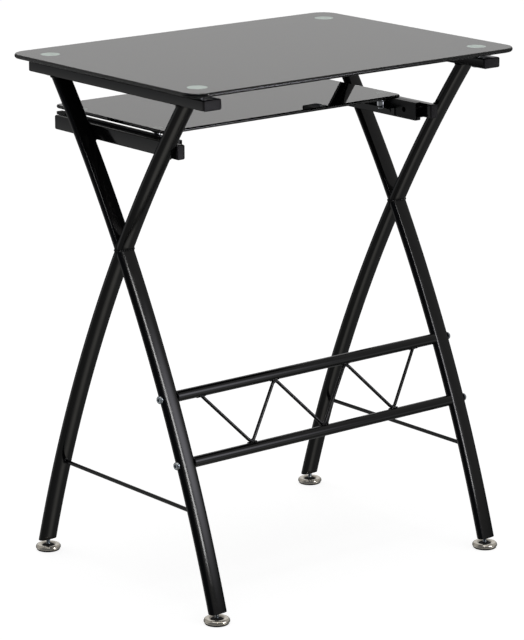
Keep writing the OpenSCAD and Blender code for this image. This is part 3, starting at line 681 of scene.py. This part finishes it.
CARRIER_X, CARRIER_Z, CARRIER_W, CARRIER_H = 236.5, 659.5, 13, 21
CARRIER_REAR, CARRIER_FRONT = -105, 185
for side, word in SIDES:
    x = side * CARRIER_X
    tube = bar((x, CARRIER_REAR, CARRIER_Z), (x, CARRIER_FRONT, CARRIER_Z),
               outline(CARRIER_W, CARRIER_H, 2, 6), (0, 0, 1))
    welds = []
    for z in (CARRIER_Z - 10.2, CARRIER_Z + 10.2):
        for lean in (-1, 1):
            y = lean * float(bow_y(z)) + np.linspace(-5.5, 5.5, 34)
            path = np.column_stack((np.full(34, side * (CARRIER_X + 7.1)), y, np.full(34, z)))
            welds.append(bead(path, (0, 0, 1), 1.4, False))
    make(f"{word}_carrier_tube", [tube, *welds], "frame", "black_powder_coat", coat,
         f"carrier_{word}")
make("carrier_end_caps", [cap(s * CARRIER_X, CARRIER_Z, y, e, CARRIER_W, CARRIER_H)
                          for s in (-1, 1)
                          for e, y in ((-1, CARRIER_REAR), (1, CARRIER_FRONT))],
     "frame", "black_plastic", moulded, "carrier_caps")


# ---- ball slides ----
# Cold-rolled steel channels, black electro-coated. The fixed member is screwed to the
# carrier; the moving one rolls on two rows of balls held by a thin cage.

# Electro-coated strip: thin semi-gloss black, with faint rolling lines along the strip.
ecoat, tree, into = finish("black electro-coated strip", "#08080a", 0.3, IOR=1.5,
                           Specular_IOR_Level=0.22)
place = node(tree, "ShaderNodeTexCoord").outputs["Object"]
drawn = node(tree, "ShaderNodeMapping", {"Vector": place, "Scale": (600.0, 8.0, 600.0)})
tree.links.new(blotch(tree, 1.0, 0.24, 0.38, drawn.outputs[0]), into["Roughness"])
# Through-hardened ball steel, ground and lapped: a near mirror under a film of grease.
ball_steel, tree, into = finish("lapped ball steel", "#c9cbcd", 0.1, Metallic=1.0)
tree.links.new(blotch(tree, 700, 0.06, 0.16), into["Roughness"])

# These pieces keep the shape they have in the frame and only get their finish here.
DRESS = ((ecoat, ("slide_moving_", "slide_fixed_")),
         (coat, ("tray_bracket_", "bracket_rivets")),
         (zinc, ("slide_screws", "ball_cage_", "truss_inserts")),
         (ball_steel, ("slide_balls_",)), (moulded, ("leg_plugs",)))
for skin_finish, starts in DRESS:
    for name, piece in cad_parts.items():
        if name.startswith(starts):
            for holder in piece.material_slots:
                holder.material = skin_finish


# ---- keyboard tray ----
# A 5 mm pane like the top's, on four small discs, spacers and screws that stand on the
# brackets riveted to the moving slides.

TRAY_LOW = 674
TRAY_PANE = (TRAY_LOW, 679, 444, 270, 9, 83.4)
BRACKET_Z, BRACKET_T = 658.7, 1.5
TRAY_SPOTS = [(x, y) for x in (-210, 210) for y in (-18, 164)]
make("tray_pane", [pane(*TRAY_PANE)], "tray", "smoked_glass", glass, "tray_glass")
make("tray_enamel", fired(1.4, *TRAY_PANE), "tray", "smoked_glass", enamel)
make("tray_bond_films", [turned(((7.8, TRAY_LOW + 0.035), (7.8, TRAY_LOW + 0.05)), (x, y, 0))
                         for x, y in TRAY_SPOTS], "tray", "smoked_glass", film)
make("tray_disc_set", [turned(((7.6, 0), (8, 0.4), (8, 2)), (x, y, TRAY_LOW - 2))
                       for x, y in TRAY_SPOTS], "tray", "chrome", chrome, "tray_discs")
make("tray_spacer_set", [turned(((6.7, 0), (7, 0.3), (7, 7.0), (6.6, 7.3), (5, 7.5),
                                 (5, 13.0), (4.7, 13.3)), (x, y, BRACKET_Z))
                         for x, y in TRAY_SPOTS], "tray", "chrome", chrome,
     "tray_spacers")
make("tray_screw_set", [turned(head(5.25, 2.8, 4), (x, y, BRACKET_Z - BRACKET_T), (0, 0, -1))
                        for x, y in TRAY_SPOTS], "tray", "zinc_plate", zinc,
     "tray_screws")


# ---- levelling feet ----
# A nickel-plated ring over a rubber pad, whose hub fills the ring's middle. The end of an
# M6 stud turns in it, and the stud screws into a plastic plug in the leg.

# Moulded rubber: matt and slightly dusty, mottled over 3 mm.
rubber, tree, into = finish("moulded black rubber", "#0e0e0e", 0.8)
tint = node(tree, "ShaderNodeMix", {"Factor": blotch(tree, 300, 0.0, 1.0),
                                    6: hue("#0b0b0b"), 7: hue("#191918")},
            data_type="RGBA")
tree.links.new(tint.outputs[2], into["Base Color"])
# Barrel-plated nickel, tumbled bright: warmer than the chrome, with a soft haze that
# varies over 4 mm.
nickel, tree, into = finish("barrel-plated nickel", "#dcd5c8", 0.08, Metallic=0.78)
tint = node(tree, "ShaderNodeMix", {"Factor": blotch(tree, 250, 0.0, 1.0),
                                    6: hue("#d3cbbc"), 7: hue("#e4dfd5")},
            data_type="RGBA")
tree.links.new(tint.outputs[2], into["Base Color"])
tree.links.new(blotch(tree, 250, 0.04, 0.14), into["Roughness"])


def eased(profile, times=2):
    """A profile with its corners cut: each corner gives way to the points a quarter
    and three quarters along its sides, and the ends stay."""
    p = np.array(profile, float)
    for _ in range(times):
        cut = np.stack((p[:-1] * 0.75 + p[1:] * 0.25, p[:-1] * 0.25 + p[1:] * 0.75), 1)
        p = np.vstack((p[:1], cut.reshape(-1, 2), p[-1:]))
    return p


def thread(x, y, low, high, radius=3.0, pitch=1.0, depth=0.55):
    """Threaded stud: the radius falls from crest to root and back once a pitch of
    height, and the pattern climbs one pitch in each turn."""
    z = np.linspace(low, high, int((high - low) / pitch * 8) + 1)[:, None]
    a = np.radians(np.arange(36) * 10)[None]
    wave = np.abs(2 * ((z / pitch - a / (2 * math.pi)) % 1) - 1)
    r = radius - depth * np.clip(1.15 * wave - 0.08, 0, 1)
    r = r * np.where((z - low < 0.1) | (high - z < 0.1), 0.86, 1)
    return skin(np.stack((x + r * np.cos(a), y + r * np.sin(a), z + 0 * a), -1))


dish = eased(((9.05, 2.5), (17.8, 2.5), (18.8, 2.9), (19.0, 3.9), (18.8, 5.6),
              (17.8, 7.3), (16.0, 8.1), (12.8, 8.1), (10.4, 7.6), (9.05, 6.4)))
pad = ((16.9, 0), (17.5, 0.6), (17.5, 2.49), (9.0, 2.49), (9.0, 6.9), (8.3, 7.45),
       (6.8, 7.85), (4.0, 8.35), (3.0, 8.4))
for side, word in SIDES:
    for end, place in ((-1, "rear"), (1, "front")):
        x, y = side * SIDE_X, end * float(bow_y(LEG_LOW + 6))
        foot = f"{place}_{word}"
        make(f"dish_{foot}", [turned(dish, (x, y, 0), sides=64, ring=True)],
             f"foot_{foot}", "chrome", nickel, f"foot_dish_{foot}")
        make(f"pad_{foot}", [turned(pad, (x, y, 0), sides=64)], f"foot_{foot}",
             "black_rubber", rubber, f"foot_pad_{foot}")
        make(f"stud_{foot}", [thread(x, y, 8.5, LEG_LOW + 11.7),
                              turned(((2.3, 2.8), (2.3, 8.8)), (x, y, 0), sides=24)],
             f"stud_{foot}", "zinc_plate", zinc, f"foot_stud_{foot}")
